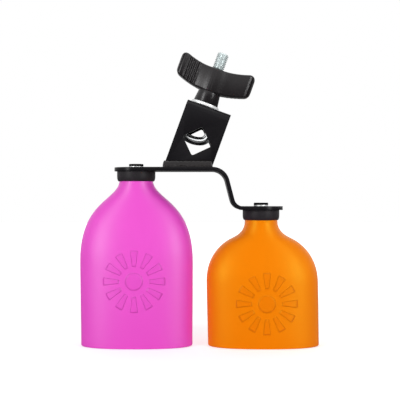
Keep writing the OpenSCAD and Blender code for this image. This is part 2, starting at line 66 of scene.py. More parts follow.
def add_node(tree, kind, feeds=(), **settings):
    """A node with its settings. Each of its feeds is a socket and what that socket gets."""
    node = tree.nodes.new("ShaderNode" + kind)
    for name, value in settings.items():
        if hasattr(node, name):
            setattr(node, name, value)
        else:
            node.inputs[name.replace("_", " ")].default_value = value
    for socket, source in feeds:
        if isinstance(source, bpy.types.Node):
            source = source.outputs[0]
        if isinstance(source, bpy.types.NodeSocket):
            tree.links.new(source, node.inputs[socket])
        else:
            node.inputs[socket].default_value = source
    return node


def new_material(name):
    """A material, its node tree and its main shader."""
    made = bpy.data.materials.new(name)
    made.use_nodes = True
    return made, made.node_tree, made.node_tree.nodes["Principled BSDF"]


print("colour and node helpers ready, mid grey is", round(linear("#808080")[0], 3))

# %% [markdown]
# ## What every finish has: drift and grain
# No real surface is one flat colour or perfectly smooth. Two near shades drift into each other
# over a few millimetres or centimetres, and a fine unevenness breaks up the reflections. Both are
# noise whose scale is worked out from a real size, so they stay right if the piece is seen closer.

# %% Drift and grain


def cloudy(tree, surface, code_a, code_b, size_mm):
    """Two near shades that drift into each other over size_mm."""
    place = add_node(tree, "TexCoord")
    noise = add_node(tree, "TexNoise", [("Vector", place.outputs["Object"])],
                     Scale=1 / (size_mm * MM), Detail=1.0)
    mix = add_node(tree, "Mix", [(0, noise.outputs["Fac"])], data_type="RGBA")
    mix.inputs[6].default_value = linear(code_a)
    mix.inputs[7].default_value = linear(code_b)
    tree.links.new(mix.outputs[2], surface.inputs["Base Color"])
    return mix.outputs[2]


def grain(tree, surface, size_mm, depth_mm, relief=()):
    """A fine uneven surface, size_mm from bump to bump and depth_mm deep, on top of any relief."""
    place = add_node(tree, "TexCoord")
    noise = add_node(tree, "TexNoise", [("Vector", place.outputs["Object"])],
                     Scale=1 / (size_mm * MM), Detail=2.0, Roughness=0.5)
    bump = add_node(tree, "Bump", [("Height", noise.outputs["Fac"]), *relief], Distance=depth_mm * MM)
    tree.links.new(bump.outputs["Normal"], surface.inputs["Normal"])


print("drift and grain ready")

# %% [markdown]
# ## Last steps for any piece
# However a piece is made, it ends the same way. Double points become one, faces are turned
# outwards, and all is shaded smooth but for the edges that are sharper than a given angle. Then
# the piece gets its material, is tied to the body that carries it, and the node it stands for is hidden.

# %% Finishing a piece
# Points that are nearer to each other than this many metres become one.
MERGE_DISTANCE = 2e-6


def finish_piece(name, mesh, finish, body, stands_for, sharp):
    """An object from a mesh that is in its place already."""
    work = bmesh.new()
    work.from_mesh(mesh)
    bmesh.ops.remove_doubles(work, verts=work.verts, dist=MERGE_DISTANCE)
    bmesh.ops.recalc_face_normals(work, faces=work.faces)
    work.to_mesh(mesh)
    work.free()
    mesh.shade_smooth()
    mesh.set_sharp_from_angle(angle=math.radians(sharp))
    mesh.materials.clear()
    mesh.materials.append(finish)
    made = bpy.data.objects.new(name, mesh)
    bpy.context.scene.collection.objects.link(made)
    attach(made, body)
    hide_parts(stands_for)
    print(f"{name}: {len(mesh.polygons)} faces")


print("last steps ready")

# %% [markdown]
# ## Two kinds of pieces
# A piece with a form of its own is drawn from points in millimetres, in a simple position, and is
# then moved to its place. Where the measured shape is already right, drawing it again gains
# nothing, so only its hard edges are rounded. A coat, a tumbler or a mould never leaves them
# knife-sharp, and the thin glint on them is what makes a piece look real.

# %% Drawn and softened pieces


def piece(name, points, faces, finish, body, stands_for, place=Matrix(), sharp=40):
    """A piece from its own points and faces, moved from its simple position to its place."""
    mesh = bpy.data.meshes.new(name)
    mesh.from_pydata([Vector(p) for p in points], [], faces)
    mesh.transform(place)
    mesh.transform(Matrix.Scale(MM, 4))
    finish_piece(name, mesh, finish, body, stands_for, sharp)


def softened(name, node, edge_mm, finish, body, segments=3, sharp=35):
    """The node's own shape with its hard edges rounded."""
    work = bmesh.new()
    work.from_mesh(nodes[node].data)
    bmesh.ops.remove_doubles(work, verts=work.verts, dist=MERGE_DISTANCE)
    bmesh.ops.dissolve_limit(work, angle_limit=math.radians(1), verts=work.verts, edges=work.edges)
    hard = [e for e in work.edges
            if len(e.link_faces) == 2 and e.calc_face_angle(0) > math.radians(sharp)]
    bmesh.ops.bevel(work, geom=hard, offset=edge_mm * MM, segments=segments, profile=0.5,
                    affect="EDGES", clamp_overlap=True)
    mesh = bpy.data.meshes.new(name)
    work.to_mesh(mesh)
    work.free()
    finish_piece(name, mesh, finish, body, node, sharp)


print("piece helpers ready")

# %% [markdown]
# ## Shapes from rings
# Most of these pieces are round or long, so they are drawn as rings of points that are joined
# one to the next. A closed run of rings makes a hollow or endless form, such as a bell or an eye.
# An open run gets an end face on its first and last ring.

# %% Ring helpers


def rings(points, closed=True):
    """Faces between rings that have the same number of points each."""
    count, size = len(points), len(points[0])
    flat = [p for ring in points for p in ring]
    faces = []
    for i in range(count if closed else count - 1):
        for k in range(size):
            a, b = i * size + k, i * size + (k + 1) % size
            up = ((i + 1) % count) * size
            faces.append((a, b, up + (k + 1) % size, up + k))
    if not closed:
        faces.append(tuple(range(size)))
        faces.append(tuple((count - 1) * size + k for k in range(size)))
    return flat, faces


def turned(outline, sides=48):
    """Rings of a shape turned about Z, from pairs of radius and height."""
    return [[(r * math.cos(2 * math.pi * k / sides), r * math.sin(2 * math.pi * k / sides), z)
             for k in range(sides)] for r, z in outline]


def joined(*shapes):
    """Several shapes as one list of points and one of faces."""
    points, faces = [], []
    for more_points, more_faces in shapes:
        faces += [tuple(i + len(points) for i in face) for face in more_faces]
        points += more_points
    return points, faces


print("ring helpers ready")

# %% [markdown]
# ## Camera
# The picture is taken square on from the front, level with the middle of the object. A lens of
# middle length keeps the two mouths almost straight, as they are in a product picture.

# %% Camera
EYE_POINT = (0.00035, -0.578, 0.0985)
LENS, SENSOR = 76.5, 36.0

view = bpy.data.cameras.new("studio_camera")
view.lens, view.sensor_width = LENS, SENSOR
view.clip_start, view.clip_end = 0.01, 20
camera = bpy.data.objects.new("studio_camera", view)
camera.location = EYE_POINT
camera.rotation_euler = (QUARTER, 0, 0)
bpy.context.scene.collection.objects.link(camera)
bpy.context.scene.camera = camera
print("camera at", EYE_POINT, "with a lens of", LENS, "mm")

# %% [markdown]
# ## A rosette in the mould
# A shallow rosette of plain rays marks the front and the back of each bell. It could be modelled,
# but it is only 0.7 mm high and very soft, so a height field does the same with fewer faces.
# The place on the surface is first measured in radii from the rosette's middle. Rays are the high
# parts of a cosine that runs round the middle, cut off at two radii, and a low dome fills the
# middle. The hollow inside stays plain: there the surface faces the middle of the bell, so its
# direction and its place along Y have opposite signs.

# %% Height of the rosette
# Each pair is where a soft step starts and ends, in radii of the rosette. The last is in metres.
RAYS = 12
RAY_FLANK = dict(From_Min=0.02, From_Max=0.2)
RAY_START = dict(From_Min=0.46, From_Max=0.52)
RAY_END = dict(From_Min=1.0, From_Max=0.94)
DOME_EDGE = dict(From_Min=0.3, From_Max=0.24)
OUTSIDE = dict(From_Min=0.0, From_Max=2 * MM)
SOFT = dict(interpolation_type="SMOOTHSTEP")


def rosette(tree, middle_x, middle_z, radius):
    """Height from 0 to 1 of a rosette, whose middle and radius are in millimetres."""
    size = 1 / (radius * MM)
    place = add_node(tree, "TexCoord")
    flat = add_node(tree, "VectorMath", [(0, place.outputs["Object"]), (1, (size, 0, size)),
                    (2, (-middle_x / radius, 0, -middle_z / radius))], operation="MULTIPLY_ADD")
    far = add_node(tree, "VectorMath", [(0, flat)], operation="LENGTH").outputs["Value"]
    part = add_node(tree, "SeparateXYZ", [(0, flat)])
    turn = add_node(tree, "Math", [(0, part.outputs["Z"]), (1, part.outputs["X"])], operation="ARCTAN2")
    spin = add_node(tree, "Math", [(0, turn), (1, RAYS)], operation="MULTIPLY")
    wave = add_node(tree, "Math", [(0, spin)], operation="COSINE")
    wedge = add_node(tree, "Math", [(0, wave), (1, far)], operation="MULTIPLY")
    flank = add_node(tree, "MapRange", [(0, wedge)], **SOFT, **RAY_FLANK)
    start = add_node(tree, "MapRange", [(0, far)], **SOFT, **RAY_START)
    end = add_node(tree, "MapRange", [(0, far)], **SOFT, **RAY_END)
    band = add_node(tree, "Math", [(0, start), (1, end)], operation="MULTIPLY")
    ray = add_node(tree, "Math", [(0, flank), (1, band)], operation="MULTIPLY")
    dome = add_node(tree, "MapRange", [(0, far)], **SOFT, **DOME_EDGE)
    high = add_node(tree, "Math", [(0, ray), (1, dome)], operation="MAXIMUM")
    facing = add_node(tree, "SeparateXYZ", [(0, place.outputs["Normal"])])
    depth = add_node(tree, "SeparateXYZ", [(0, place.outputs["Object"])])
    away = add_node(tree, "Math", [(0, facing.outputs["Y"]), (1, depth.outputs["Y"])],
                    operation="MULTIPLY")
    outside = add_node(tree, "MapRange", [(0, away)], **SOFT, **OUTSIDE)
    return add_node(tree, "Math", [(0, high), (1, outside)], operation="MULTIPLY")


print("rosette of", RAYS, "rays ready")

# %% [markdown]
# ## Moulded ABS
# The bells are ABS, one colour right through, moulded in a finely blasted tool. To the eye that
# is a strong colour with a broad, soft sheen instead of a sharp reflection. The default IOR of
# 1.5 is near that of ABS, and the roughness of a soft moulded skin is about 0.4. The surface has a
# faint orange-peel of about 1.6 mm, and the colour drifts a little over 40 mm. One function makes
# both bells' plastics, since only their colours and the place of the rosette differ. The sheen's
# tint was matched to the object. The raised parts of the rosette get painted shade, a slightly
# deeper colour also matched to the object, because the relief alone is too faint to see at this size.

# %% Plastic with a moulded rosette
DRIFT_MM, PEEL_MM, PEEL_DEPTH_MM, RELIEF_MM = 40, 1.6, 0.012, 0.7
ABS_ROUGHNESS, ABS_SHINE = 0.43, 0.6
# The colour and the share of the painted shade that darkens the rosette's raised parts.
RELIEF_SHADE, RELIEF_SHADE_SHARE = "#F7ECF7", 0.5


def plastic(name, code, shade, sheen, middle_x, middle_z, radius):
    """Two near shades of one colour, the tint of its sheen, and where the rosette is."""
    made, tree, surface = new_material(name)
    colour = cloudy(tree, surface, code, shade, DRIFT_MM)
    height = rosette(tree, middle_x, middle_z, radius)
    raised = add_node(tree, "Bump", [("Height", height)], Distance=RELIEF_MM * MM)
    grain(tree, surface, PEEL_MM, PEEL_DEPTH_MM, [("Normal", raised)])
    # Painted shade: the raised parts of the rosette are multiplied by a pale grey-pink, so that the
    # relief shows.
    relief_shade_amount = add_node(tree, "Math", [(0, height), (1, RELIEF_SHADE_SHARE)], operation="MULTIPLY")
    painted_relief_shade = add_node(tree, "Mix", [(0, relief_shade_amount), (6, colour), (7, linear(RELIEF_SHADE))],
                      data_type="RGBA", blend_type="MULTIPLY")
    tree.links.new(painted_relief_shade.outputs[2], surface.inputs["Base Color"])
    surface.inputs["Roughness"].default_value = ABS_ROUGHNESS
    surface.inputs["Specular IOR Level"].default_value = ABS_SHINE
    surface.inputs["Specular Tint"].default_value = linear(sheen)
    return made


pink = plastic("pink_moulded_abs", "#EC49CC", "#EF4ED0", "#D8FFF4",
               middle_x=-43.2, middle_z=44.6, radius=20.9)
orange = plastic("orange_moulded_abs", "#F47B00", "#F67F00", "#CCFF50",
                 middle_x=44.6, middle_z=29.8, radius=20.8)
print("plastics:", pink.name, orange.name)

# %% [markdown]
# ## Powder coat
# The strap and bracket are steel under a black powder coat: dust that is baked until it melts to
# one skin. To the eye that is a deep black satin, with a faint pebble in its reflections. Pictures
# of a real coat could be laid on, but noise needs no file, has no seams and keeps its real size.
# All plain finishes are made this way: two near shades, a grain, and how rough, metallic and
# shiny the skin is. A shine of 0.5 is that of a common plastic or paint, and less is duller. Over
# a weld the same coat lies on rough steel, so its grain is wider and much deeper there.

# %% Coated steel
LOW_SHINE, COAT_CLOUD_MM = 0.12, 12


def simple(name, code_a, code_b, roughness, grain_mm, depth_mm, metallic=0.0, shine=LOW_SHINE,
           cloud_mm=COAT_CLOUD_MM):
    """A plain finish whose colour drifts over cloud_mm."""
    made, tree, surface = new_material(name)
    cloudy(tree, surface, code_a, code_b, cloud_mm)
    grain(tree, surface, grain_mm, depth_mm)
    surface.inputs["Roughness"].default_value = roughness
    surface.inputs["Metallic"].default_value = metallic
    surface.inputs["Specular IOR Level"].default_value = shine
    return made


powder = simple("black_powder_coat", "#111013", "#161417", roughness=0.28, grain_mm=0.7,
                depth_mm=0.006, shine=0.13)
weld_paint = simple("painted_weld_steel", "#120E0F", "#1A1516", roughness=0.26, grain_mm=1.7,
                    depth_mm=0.16, shine=0.3)
print("coats:", powder.name, weld_paint.name)

# %% [markdown]
# ## Zinc plate
# The bolt, the washers and the lock nuts are steel with bright zinc plate. To the eye smooth
# plate is a mirror with a slight haze, so it is fully metallic, and its IOR stays at the default.
# On the flanks of a rolled thread the light is scattered, and on a washer that was passivated to
# a milky white it comes back pale from any side. Both could have their own relief, but it would
# be far finer than a pixel, so they are part metal and part pale paint instead. Real plate has a
# grain of hundredths of a millimetre, and it is drawn 1.5 mm wide here, so that it shows.

# %% Zinc plate
PLATE = dict(grain_mm=1.5, depth_mm=0.003, shine=0.5, cloud_mm=5)

zinc = simple("bright_zinc_plate", "#EEF1F2", "#F8F9FA", roughness=0.22, metallic=1.0, **PLATE)
rolled = simple("rolled_zinc_thread", "#CFD8D8", "#DEE6E6", roughness=0.3, metallic=0.55, **PLATE)
passivated = simple("white_passivated_zinc", "#F4F6F6", "#FCFDFD", roughness=0.35, metallic=0.25,
                    **PLATE)
print("plates:", zinc.name, rolled.name, passivated.name)

# %% [markdown]
# ## Nylon, rubber and black oxide
# Nylon moulded in a polished tool gives the wing nut a soft, wide shine on black. Neoprene rubber
# is a dusty charcoal with hardly any shine. Black oxide, a thin dark film on the steel of the
# screws, swallows nearly all light. Nylon without any dye, as in the ring of a lock nut, is milky.
# The grain of all four is finer than a pixel, so it is drawn about 1 mm wide to show at all.

# %% Nylon, rubber and oxide
nylon = simple("black_moulded_nylon", "#141113", "#1A1618", roughness=0.3, grain_mm=1.0,
               depth_mm=0.002, shine=0.34)
rubber = simple("black_neoprene_rubber", "#242124", "#2B282B", roughness=0.46, grain_mm=1.3,
                depth_mm=0.014)
oxide = simple("black_oxide_steel", "#0E0D0F", "#131213", roughness=0.6, grain_mm=1.0,
               depth_mm=0.005, shine=0.0)
natural = simple("natural_nylon", "#DEDED8", "#E8E8E2", roughness=0.45, grain_mm=0.8,
                 depth_mm=0.006)
print("dark and milky:", nylon.name, rubber.name, oxide.name, natural.name)

# %% [markdown]
# ## Finishes and the part's materials
# Several finishes here are the same stuff in the part's own list of materials.

# %% [markdown]
# ## Sizes of the two bells
# Seen from the front, a bell's wall rises nearly straight from the mouth to the belly, turns in
# at the shoulder, and ends in a neck that stands a little off the middle. Both bells have this
# one form and differ only in size. So each is a row of named sizes, and one function draws both.

# %% Bell sizes
# Heights and half widths are in millimetres. At the turn from round to hollow the line leans from
# upright by angle, in degrees. The pairs hollow and round are lengths of handles, as shares of
# their curve's height, and drift is how far the mouth stands aside of the neck.
BELL = {
    "large": dict(h=116, belly=38.25, mouth=37.75, belly_z=57.2, turn=(20.75, 98.9), angle=49,
                  neck=11.05, straight=0.9, hollow=(0.44, 0.65), round=(0.27, 0.58), drift=0.5),
    "small": dict(h=89.8, belly=37.79, mouth=37.59, belly_z=43.3, turn=(19.55, 73), angle=65,
                  neck=10.9, straight=3.2, hollow=(0.43, 0.59), round=(0.36, 0.515), drift=1.6),
}
print("bells are", [bell["h"] for bell in BELL.values()], "mm tall")

# %% [markdown]
# ## The side line of a bell
# The shoulder is two cubic curves that meet at the turn from round to hollow, where both have the
# same slope. It could be a list of points read off the object, but two handles per curve are
# easier to match to the real line, and they never leave a kink.

# %% Side line
RIM, RIM_STEPS, CURVE_STEPS = 0.9, 6, 18


def cubic(a, b, c, d, t):
    """The point at share t of a curve from a to d, with handles at b and c."""
    s = 1 - t
    return tuple(s ** 3 * p + 3 * s * s * t * q + 3 * s * t * t * r + t ** 3 * u
                 for p, q, r, u in zip(a, b, c, d))


def bell_side(b):
    """Pairs of half width and height, from the rim over belly and shoulder up to the neck."""
    flare = b["h"] - b["straight"]
    angle = math.radians(b["angle"])
    slope = (math.sin(angle), -math.cos(angle))
    tx, tz = b["turn"]
    low, high = tz - b["belly_z"], flare - tz
    shares = [i / CURVE_STEPS for i in range(1, CURVE_STEPS + 1)]
    line = [(b["mouth"] - RIM + RIM * math.sin(a), RIM - RIM * math.cos(a))
            for a in (QUARTER * i / RIM_STEPS for i in range(RIM_STEPS + 1))]
    for s in shares:
        ease = (1 - math.cos(math.pi * s)) / 2
        line.append((b["mouth"] + (b["belly"] - b["mouth"]) * ease, RIM + (b["belly_z"] - RIM) * s))
    r0, r1 = b["round"]
    h0, h1 = b["hollow"]
    belly, top = (b["belly"], b["belly_z"]), (b["neck"], flare)
    for s in shares:
        line.append(cubic(belly, (belly[0], belly[1] + r1 * low),
                          (tx + r0 * low * slope[0], tz + r0 * low * slope[1]), (tx, tz), s))
    for s in shares:
        line.append(cubic((tx, tz), (tx - h1 * high * slope[0], tz - h1 * high * slope[1]),
                          (top[0], flare - h0 * high), top, s))
    return line


print("side line of", len(bell_side(BELL["large"])), "points")

# %% [markdown]
# ## The hollow of a bell
# A bell is a moulded shell of even wall, open at the mouth, with a hole for its screw in the top.
# A thin sheet with a modifier for its thickness could do, but it would be uneven at the rim and
# the neck. So the inside is drawn too, as the side line moved inwards by the wall.

# %% Inner line
WALL, NECK_EDGE, HOLE = 3, 0.5, 2.72


def inner_line(b, line):
    """The side line moved inwards by the wall, from the top of the hollow down to the rim."""
    inner = []
    for i in range(RIM_STEPS + 1, len(line)):
        p, q = line[i - 1], line[min(i + 1, len(line) - 1)]
        size = math.hypot(q[0] - p[0], q[1] - p[1])
        inner.append((line[i][0] - WALL * (q[1] - p[1]) / size, line[i][1] + WALL * (q[0] - p[0]) / size))
    ceiling = b["h"] - WALL
    inner = [p for p in inner if p[1] < ceiling - NECK_EDGE]
    mouth = b["mouth"] - WALL
    rim = [(mouth + RIM - RIM * math.sin(a), RIM - RIM * math.cos(a))
           for a in (QUARTER * (1 - i / RIM_STEPS) for i in range(RIM_STEPS + 1))]
    return [(HOLE, ceiling), (inner[-1][0], ceiling)] + inner[::-1] + rim


print("inner line of", len(inner_line(BELL["large"], bell_side(BELL["large"]))), "points")

# %% [markdown]
# ## The bells as shells
# From above, the neck is a circle, and going down it becomes a fuller, flatter oval. Turning the
# side line like a vase would keep it round, so every ring is worked out by itself, with its own
# half width, half depth and fullness. One closed run of rings goes up the outside, over the top
# and down the inside, and the wall is right wherever one looks in.

# %% Bell shells
# DEPTH is half of a bell's depth, and SQUARE is the power of its oval, where 2 is an ellipse.
DEPTH, SQUARE, BELL_SIDES = 17.7, 2.3, 144
LARGE_X, SMALL_X = -42.991, 41.809


def bell_shell(b, x):
    """The rings of a bell whose neck stands at x, from the outside of the rim to its inside."""
    line = bell_side(b)
    flare = b["h"] - b["straight"]
    outer = line + [(b["neck"], b["h"] - NECK_EDGE), (b["neck"] - NECK_EDGE, b["h"]), (HOLE, b["h"])]
    loops = []
    for inside, run in ((0, outer), (WALL, inner_line(b, line))):
        for w, z in run:
            s = min(1, max(0, (flare - z) / (flare - b["belly_z"])))
            s = (1 - math.cos(math.pi * s)) / 2
            deep = min(w, b["neck"] + (DEPTH - b["neck"]) * s - inside)
            power = 2 / (2 + (SQUARE - 2) * s)
            shift = b["drift"] * max(0, (flare - z) / flare)
            ring = []
            for k in range(BELL_SIDES):
                c, n = (f(2 * math.pi * k / BELL_SIDES) for f in (math.cos, math.sin))
                ring.append((x + shift + w * math.copysign(abs(c) ** power, c),
                             deep * math.copysign(abs(n) ** power, n), z))
            loops.append(ring)
    return rings(loops)


for name, x, finish in (("large", LARGE_X, pink), ("small", SMALL_X, orange)):
    piece(name + "_bell_shell", *bell_shell(BELL[name], x), finish, "frame", name + "_bell")

# %% [markdown]
# ## Low screws and bright washers
# Each bell hangs on a screw with a low head and a bright washer. They could keep their measured
# shape, but a closer look at the real head showed it flatter and a third of a millimetre higher,
# so both are drawn anew as turned shapes. The drive is a hexagon pressed into the head: instead
# of cutting one out, three rings are pulled out from a circle to six flats, which leaves clean faces.

# %% Screw and washer
HEAD, HEAD_H, HEAD_ROUND, HEAD_STEPS = 4.9, 1.5, 0.4, 4
DRIVE, DRIVE_DEPTH, DRIVE_EDGE, DRIVE_RINGS, FLAT = 1.5, 1, 0.1, 3, 60
SHANK_R, TIP_R, TIP_H = 2.5, 2.1, 0.5
WASHER, WASHER_BORE, WASHER_EDGE = 0.9, 2.7, 0.15


def low_screw(x, seat, end):
    """A screw at x whose washer lies on the height seat, and whose tip is at the height end."""
    base = seat + WASHER
    top = base + HEAD_H
    edge = [(HEAD - HEAD_ROUND + HEAD_ROUND * math.sin(a), top - HEAD_ROUND + HEAD_ROUND * math.cos(a))
            for a in (QUARTER * i / HEAD_STEPS for i in range(HEAD_STEPS + 1))]
    drive = [(DRIVE, top - DRIVE_DEPTH), (DRIVE, top - DRIVE_EDGE), (DRIVE + DRIVE_EDGE, top)]
    shank = [(HEAD, base), (SHANK_R, base), (SHANK_R, end + TIP_H), (TIP_R, end)]
    loops = turned(drive + edge + shank)
    for ring in loops[:DRIVE_RINGS]:
        for k, (px, py, z) in enumerate(ring):
            pull = math.cos(math.radians((360 * k / len(ring)) % FLAT - FLAT / 2))
            ring[k] = (px / pull, py / pull, z)
    return rings([[(px + x, py, z) for px, py, z in ring] for ring in loops], closed=False)


def bright_washer():
    face, high = HEAD - WASHER_EDGE, WASHER - WASHER_EDGE
    return rings(turned([(WASHER_BORE, 0), (face, 0), (HEAD, WASHER_EDGE), (HEAD, high), (face, WASHER),
                         (WASHER_BORE, WASHER)]))


print("screw heads are", 2 * HEAD, "mm wide and", HEAD_H, "mm high")

# %% [markdown]
# ## Neck fittings
# A rubber cup sits on each neck. The screw pulls it up to the strap, and a wide washer and a lock
# nut hold from inside the bell. Cups, inner washers and nuts could be turned too, but they are
# plain and their measured shapes are right, so only their edges are softened. The new screw and
# washer take their places from the corners of the measured ones.

# %% Neck fittings
CUP_EDGE, NUT_EDGE, RING_EDGE = 0.35, 0.15, 0.08

for name in ("large", "small"):
    corners = [Vector(c) / MM for c in nodes[name + "_screw"].bound_box]
    middle = sum(c.x for c in corners) / len(corners)
    seat = min(c[2] for c in nodes[name + "_screw_washer"].bound_box) / MM
    end = min(c.z for c in corners)
    softened(name + "_cup", name + "_cap", CUP_EDGE, rubber, "frame")
    piece(name + "_screw_body", *low_screw(middle, seat, end), oxide, "frame", name + "_screw")
    piece(name + "_bright_washer", *bright_washer(), passivated, "frame", name + "_screw_washer",
          Matrix.Translation((middle, 0, seat)))
    softened(name + "_wide_washer", name + "_inner_washer", NUT_EDGE, zinc, "frame")
    softened(name + "_lock_nut_body", name + "_lock_nut", NUT_EDGE, zinc, "frame")
    softened(name + "_nylon_ring", name + "_nut_ring", RING_EDGE, natural, "frame")

# %% [markdown]
# ## Strap and bracket
# The strap and the folded bracket are sheared from steel strip and bent. Sheared edges are hard,
# and the coat rounds them. Both could be drawn anew, but the measured shapes already have every
# bend and hole in its place, so only their edges are softened.

# %% Bent steel
STRAP_EDGE, BRACKET_EDGE = 0.55, 0.85

softened("strap_coated", "mount_strap", STRAP_EDGE, powder, "frame")
softened("bracket_coated", "clamp_bracket", BRACKET_EDGE, powder, "frame", segments=4, sharp=30)

# %% [markdown]
# ## Weld beads
# A bead is laid along the foot of each leg as overlapping puddles, each a shallow ripple under
# the coat. Noise on a plain strip could make it lumpy, but a weld has a rhythm, and a formula
# keeps it. The section is a full quarter round, drawn in thin slices so that every puddle has
# enough points to look round. The ends are drawn in over about 2 mm.

# %% Weld
STRAP_TOP, FOOT_X = 120.5, LARGE_X + 35.1
BRACKET_HALF, BRACKET_H, BRACKET_T = 11.5, 42.9, 2.5
BEAD_LEFT, BEAD_RIGHT, BEAD_W, BEAD_H, BEAD_END, END_SHARE = -16.7, 16.7, 3.05, 4.45, 2.2, 0.12
PUDDLE_MM, PUDDLE_SHARE, FULLNESS = 2.9, 0.06, 0.8
BEAD_SLICES, BEAD_STEPS = 220, 10


def weld(side):
    """The bead in front of the bracket, where side is -1, or behind it, where side is 1."""
    loops = []
    for i in range(BEAD_SLICES + 1):
        x = BEAD_LEFT + (BEAD_RIGHT - BEAD_LEFT) * i / BEAD_SLICES
        near = max(0.0, BEAD_END - min(x - BEAD_LEFT, BEAD_RIGHT - x)) / BEAD_END
        end = min(1.0, math.sqrt(max(0.0, 1 - near ** 2)) + END_SHARE)
        size = end * (1 - PUDDLE_SHARE + PUDDLE_SHARE * abs(math.sin(math.pi * x / PUDDLE_MM)))
        ring = [(FOOT_X + x, side * BRACKET_HALF, STRAP_TOP)]
        for k in range(BEAD_STEPS + 1):
            a = QUARTER * k / BEAD_STEPS
            ring.append((FOOT_X + x, side * (BRACKET_HALF + BEAD_W * size * math.cos(a) ** FULLNESS),
                         STRAP_TOP + BEAD_H * size * math.sin(a) ** FULLNESS))
        loops.append(ring)
    return rings(loops, closed=False)


piece("weld_ripples", *joined(weld(-1), weld(1)), weld_paint, "frame", "weld_beads", sharp=50)

# %% [markdown]
# ## Where the bolt stands
# Bolt and wing nut share one axis, which leans with the bracket. To draw them leaning, every
# point would need the tilt. So they are drawn upright round their own axis, and one matrix lifts
# them to the fold of the bracket, leans them and carries them to the strap.

# %% Place of the bolt
TILT, BOLT_OFFSET = math.radians(20), 3.6
BOLT = (Matrix.Translation((FOOT_X, 0, STRAP_TOP)) @ Matrix.Rotation(TILT, 4, "Y")
        @ Matrix.Translation((-BOLT_OFFSET, 0, BRACKET_H)))
print("the bolt leans by", round(math.degrees(TILT)), "degrees")

# %% [markdown]
# ## The eye of the bolt
# The eye is a round bar bent to a flattened loop, so that its wide bottom lies under a rod.
# Four arcs give the path of the bar's middle: a wide one below, a tight one at each lower
# corner and a half circle on top. A curve with a round bevel could do the rest, but rings that
# are carried along the path close on each other without a seam and are a mesh at once.

# %% Bent eye
EYE_TURN, EYE_W, CORNER, BAR, SIDE, EYE_GAP = math.radians(23), 12.2, 8.5, 2.9, 2.8, 0.3
CORNER_X = EYE_W - CORNER
BOTTOM = CORNER + CORNER_X / math.sin(EYE_TURN)
CORNER_Z = BOTTOM - (BOTTOM - CORNER) * math.cos(EYE_TURN)
EYE_Z = -BRACKET_T - EYE_GAP - (CORNER_Z + SIDE + EYE_W)
BAR_SIDES, WIDE_STEPS, CORNER_STEPS, HALF_STEPS = 28, 16, 12, 36


def arc(x, z, r, start, end, steps):
    """The bar's middle on a bend round x and z, where r is the radius of the bar's outside."""
    return [(x + (r - BAR) * math.cos(a), z + (r - BAR) * math.sin(a))
            for a in (start + (end - start) * i / steps for i in range(steps))]


def bent_eye():
    low = -QUARTER - EYE_TURN, -QUARTER + EYE_TURN
    path = arc(0, BOTTOM, BOTTOM, *low, WIDE_STEPS)
    path += arc(CORNER_X, CORNER_Z, CORNER, low[1], 0, CORNER_STEPS)
    path += arc(0, CORNER_Z + SIDE, EYE_W, 0, math.pi, HALF_STEPS)
    path += arc(-CORNER_X, CORNER_Z, CORNER, math.pi, 2 * math.pi + low[0], CORNER_STEPS)
    loops = []
    for i, (x, z) in enumerate(path):
        before, after = path[i - 1], path[(i + 1) % len(path)]
        along = Vector((after[0] - before[0], 0, after[1] - before[1])).normalized()
        out = Vector((along.z, 0, -along.x))
        loops.append([Vector((x, 0, z + EYE_Z)) + BAR * (math.cos(t) * out + Vector((0, math.sin(t), 0)))
                      for t in (2 * math.pi * k / BAR_SIDES for k in range(BAR_SIDES))])
    return rings(loops)


piece("bolt_eye_bent", *bent_eye(), zinc, "bolt", "eye_bolt", BOLT, sharp=60)

# %% [markdown]
# ## A rolled thread as a real helix
# A thread could be a stack of grooves, but then its lines are level, and real ones climb. Here
# every row of points climbs by one pitch in a turn, so that the groove runs smoothly round the
# bar. A face at the end of a turn therefore joins on to the row that is one turn further on.
# Rows below the start and above the top are squeezed on to these two levels.

# %% Thread and shank
# SHANK is a radius and CUT the thread's depth. The groove takes GROOVE_SHARE of each pitch.
PITCH, SHANK, TOP, START, CUT, CHAMFER, GROOVE_SHARE = 1.25, 4.0, 37.9, 2.0, 0.75, 0.8, 0.8
FINE, SIDES, SHANK_END = 8, 40, -6
ROWS = FINE * (int((TOP - START) / PITCH) + 3)


def thread_point(i, k):
    """Point k of row i, which climbs by a pitch as k goes once round the bar."""
    z = START + (i / FINE - 1 + k / SIDES) * PITCH
    if z <= START:
        z, r = START, SHANK
    elif z >= TOP:
        z, r = TOP, SHANK - CUT
    else:
        groove = max(0.0, 1 - abs(i % FINE / FINE - 0.5) * 2 / GROOVE_SHARE)
        r = SHANK - CUT * max(groove, (z - TOP + CHAMFER) / CHAMFER)
    a = 2 * math.pi * k / SIDES
    return (r * math.cos(a), r * math.sin(a), z)


def rolled_thread():
    points = [thread_point(i, k) for i in range(ROWS) for k in range(SIDES)]
    points += [p for ring in turned([(SHANK, START), (SHANK, SHANK_END)], SIDES) for p in ring]
    faces = []
    for i in range(ROWS - 1):
        for k in range(SIDES):
            a, up = i * SIDES + k, (i + 1) * SIDES + k
            turn = 1 if k < SIDES - 1 else min(FINE, ROWS - 2 - i) * SIDES - k
            faces.append((a, a + turn, up + turn, up))
    low = ROWS * SIDES
    faces += [(low + k, low + SIDES + k, low + SIDES + (k + 1) % SIDES, low + (k + 1) % SIDES)
              for k in range(SIDES)]
    faces += [tuple(range(low - SIDES, low)), tuple(range(low + SIDES, low + 2 * SIDES))]
    return points, faces


piece("bolt_thread_rolled", *rolled_thread(), rolled, "bolt", "eye_bolt", BOLT, sharp=60)

# %% [markdown]
# ## Washer and insert
# The flat washer spreads the nut's pull over the slot in the bracket. The insert is a plated
# steel bush with six flats, moulded into the nylon so that it can't turn in it. Both are simple
# enough to keep their measured shape, with the edges just broken as by tumbling.

# %% Washer and insert
TUMBLED_EDGE = 0.2

softened("zinc_flat_washer", "clamp_washer", TUMBLED_EDGE, passivated, "shuttle")
softened("threaded_insert", "nut_insert", TUMBLED_EDGE, zinc, "nut")

